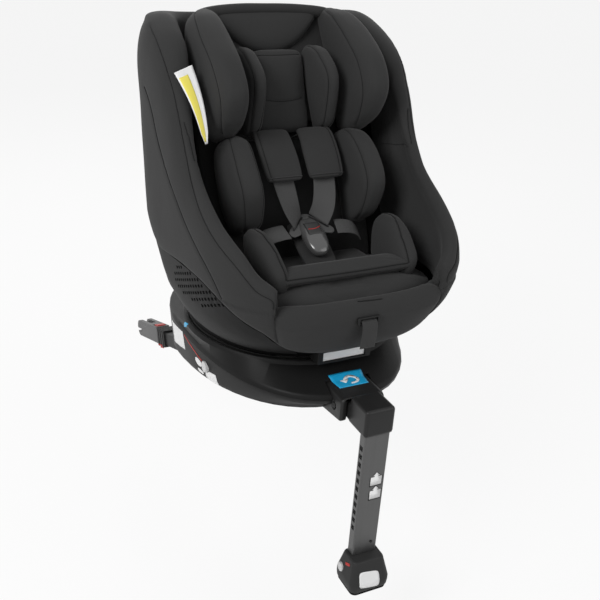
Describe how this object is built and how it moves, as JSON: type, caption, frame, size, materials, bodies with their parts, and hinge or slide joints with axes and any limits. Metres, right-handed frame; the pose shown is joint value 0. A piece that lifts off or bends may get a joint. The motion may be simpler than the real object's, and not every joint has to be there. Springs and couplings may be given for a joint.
{
  "type": "convertible car seat",
  "caption": "Padded child car seat that turns and reclines on an anchored base, with a height-adjusting headrest, a buckled harness, swinging lower anchors and a folding telescopic support leg.",
  "frame": {"origin": "on the sloping underside of the base, below the middle of the seat", "axes": "+Z is parallel to the turntable axis and points up, the seat faces -Y, and +X is on the right of a viewer who faces the seat"},
  "size_m": [0.4486, 0.8023, 0.8554],
  "materials": {
    "base_plastic": "fine-grained dark plastic",
    "frame_steel": "zinc-plated steel",
    "bush_plastic": "low-friction plastic",
    "button_plastic": "pale satin plastic",
    "connector_plastic": "grey plastic",
    "release_red": "red plastic",
    "leg_steel": "grey powder coat",
    "sole_rubber": "black rubber",
    "seat_plastic": "dark plastic",
    "vent_plastic": "grey plastic",
    "cover_fabric": "charcoal knit fabric",
    "webbing": "woven grey webbing",
    "buckle_gloss": "glossy dark plastic",
    "tongue_plastic": "grey plastic"
  },
  "bodies": {
    "base": {"base_tray": "base_plastic", "base_cover": "base_plastic", "base_frame": "frame_steel", "leg_bracket": "base_plastic", "pivot_bush": "bush_plastic", "hinge_pins": "frame_steel", "base_screws": "frame_steel"},
    "side_button_left": {"side_button_left": "button_plastic"},
    "side_button_right": {"side_button_right": "button_plastic"},
    "anchor_sleeve_left": {"anchor_sleeve_left": "base_plastic"},
    "anchor_sleeve_right": {"anchor_sleeve_right": "base_plastic"},
    "anchor_arm_left": {"anchor_arm_left": "base_plastic", "anchor_connector_left": "connector_plastic"},
    "anchor_arm_right": {"anchor_arm_right": "base_plastic", "anchor_connector_right": "connector_plastic"},
    "anchor_hook_left": {"anchor_hook_left": "frame_steel"},
    "anchor_hook_right": {"anchor_hook_right": "frame_steel"},
    "anchor_release_left": {"anchor_release_left": "release_red"},
    "anchor_release_right": {"anchor_release_right": "release_red"},
    "leg": {"leg_arm": "base_plastic", "leg_outer_tube": "leg_steel"},
    "foot": {"leg_inner_tube": "leg_steel", "foot_housing": "base_plastic"},
    "foot_button_left": {"foot_button_left": "button_plastic"},
    "foot_button_right": {"foot_button_right": "button_plastic"},
    "foot_sole": {"foot_sole": "sole_rubber"},
    "carrier": {"turntable": "seat_plastic", "cradle_rails": "frame_steel"},
    "seat": {"seat_shell": "seat_plastic", "seat_bucket": "seat_plastic", "recline_runners": "frame_steel", "side_panel_left": "vent_plastic", "side_panel_right": "vent_plastic", "handle_housing": "seat_plastic", "wing_cover_left": "cover_fabric", "wing_cover_right": "cover_fabric", "front_cover": "cover_fabric", "wing_pad_left": "cover_fabric", "wing_pad_right": "cover_fabric", "seat_cushion": "cover_fabric", "back_cushion": "cover_fabric", "headrest_rails": "frame_steel", "insert_seat": "cover_fabric", "insert_bolster_left": "cover_fabric", "insert_bolster_right": "cover_fabric", "crotch_pad": "cover_fabric", "buckle": "buckle_gloss", "buckle_tongues": "tongue_plastic", "lower_straps": "webbing", "adjuster_strap": "webbing", "adjuster_bezel": "seat_plastic", "shoulder_straps": "webbing"},
    "recline_handle": {"recline_handle": "button_plastic"},
    "buckle_button": {"buckle_button": "buckle_gloss"},
    "headrest": {"headrest_shell": "seat_plastic", "headrest_pads": "cover_fabric", "headrest_wing_left": "cover_fabric", "headrest_wing_right": "cover_fabric", "shoulder_pads": "cover_fabric"},
    "headrest_lever": {"headrest_lever": "seat_plastic"}
  },
  "joints": [
    {"name": "seat_rotation", "type": "hinge", "parent": "base", "child": "carrier", "pos_m": [0, 0.03, 0.09], "axis": [0, 0, 1], "continuous": true},
    {"name": "seat_recline", "type": "hinge", "parent": "carrier", "child": "seat", "pos_m": [0, 0.03, 0.43], "axis": [-1, 0, 0], "range_deg": [0, 14]},
    {"name": "recline_pull", "type": "slide", "parent": "seat", "child": "recline_handle", "axis": [0, -1, 0], "range_m": [0, 0.01], "stiffness_N_per_m": 500},
    {"name": "headrest_height", "type": "slide", "parent": "seat", "child": "headrest", "axis": [0, 0.5, 0.866], "range_m": [0, 0.11], "deforming": ["shoulder_straps"]},
    {"name": "headrest_lever_pull", "type": "slide", "parent": "headrest", "child": "headrest_lever", "axis": [0, 0.5, 0.866], "range_m": [0, 0.008], "stiffness_N_per_m": 600},
    {"name": "buckle_press", "type": "slide", "parent": "seat", "child": "buckle_button", "axis": [0, 0.454, -0.891], "range_m": [0, 0.0035], "stiffness_N_per_m": 900},
    {"name": "leg_fold", "type": "hinge", "parent": "base", "child": "leg", "pos_m": [0, -0.222, 0.052], "axis": [1, 0, 0], "range_deg": [0, 78]},
    {"name": "leg_extend", "type": "slide", "parent": "leg", "child": "foot", "axis": [0, 0, -1], "range_m": [0, 0.13]},
    {"name": "foot_press_left", "type": "slide", "parent": "foot", "child": "foot_button_left", "axis": [1, 0, 0], "range_m": [0, 0.003], "stiffness_N_per_m": 600},
    {"name": "foot_press_right", "type": "slide", "parent": "foot", "child": "foot_button_right", "axis": [-1, 0, 0], "range_m": [0, 0.003], "stiffness_N_per_m": 600},
    {"name": "sole_press", "type": "slide", "parent": "foot", "child": "foot_sole", "axis": [0, 0, 1], "range_m": [0, 0.003], "stiffness_N_per_m": 2000},
    {"name": "side_press_left", "type": "slide", "parent": "base", "child": "side_button_left", "axis": [1, 0, 0], "range_m": [0, 0.004], "stiffness_N_per_m": 600},
    {"name": "side_press_right", "type": "slide", "parent": "base", "child": "side_button_right", "axis": [-1, 0, 0], "range_m": [0, 0.004], "stiffness_N_per_m": 600},
    {"name": "anchor_swing_left", "type": "hinge", "parent": "base", "child": "anchor_sleeve_left", "pos_m": [-0.14, 0.07, 0.008], "axis": [1, 0, 0], "range_deg": [0, 20]},
    {"name": "anchor_slide_left", "type": "slide", "parent": "anchor_sleeve_left", "child": "anchor_arm_left", "axis": [0, 0.9397, -0.342], "range_m": [-0.058, 0]},
    {"name": "anchor_release_left", "type": "slide", "parent": "anchor_arm_left", "child": "anchor_release_left", "axis": [0, 0.9397, -0.342], "range_m": [0, 0.008], "stiffness_N_per_m": 500},
    {"name": "anchor_hook_left", "type": "hinge", "parent": "anchor_arm_left", "child": "anchor_hook_left", "pos_m": [-0.14, 0.41854, -0.11035], "axis": [1, 0, 0], "range_deg": [0, 14]},
    {"name": "anchor_swing_right", "type": "hinge", "parent": "base", "child": "anchor_sleeve_right", "pos_m": [0.14, 0.07, 0.008], "axis": [1, 0, 0], "range_deg": [0, 20]},
    {"name": "anchor_slide_right", "type": "slide", "parent": "anchor_sleeve_right", "child": "anchor_arm_right", "axis": [0, 0.9397, -0.342], "range_m": [-0.058, 0]},
    {"name": "anchor_release_right", "type": "slide", "parent": "anchor_arm_right", "child": "anchor_release_right", "axis": [0, 0.9397, -0.342], "range_m": [0, 0.008], "stiffness_N_per_m": 500},
    {"name": "anchor_hook_right", "type": "hinge", "parent": "anchor_arm_right", "child": "anchor_hook_right", "pos_m": [0.14, 0.41854, -0.11035], "axis": [1, 0, 0], "range_deg": [0, 14]}
  ],
  "couplings": [
    {"joint": "anchor_hook_left", "follows": "anchor_release_left", "rad_per_m": 30},
    {"joint": "anchor_hook_right", "follows": "anchor_release_right", "rad_per_m": 30}
  ]
}
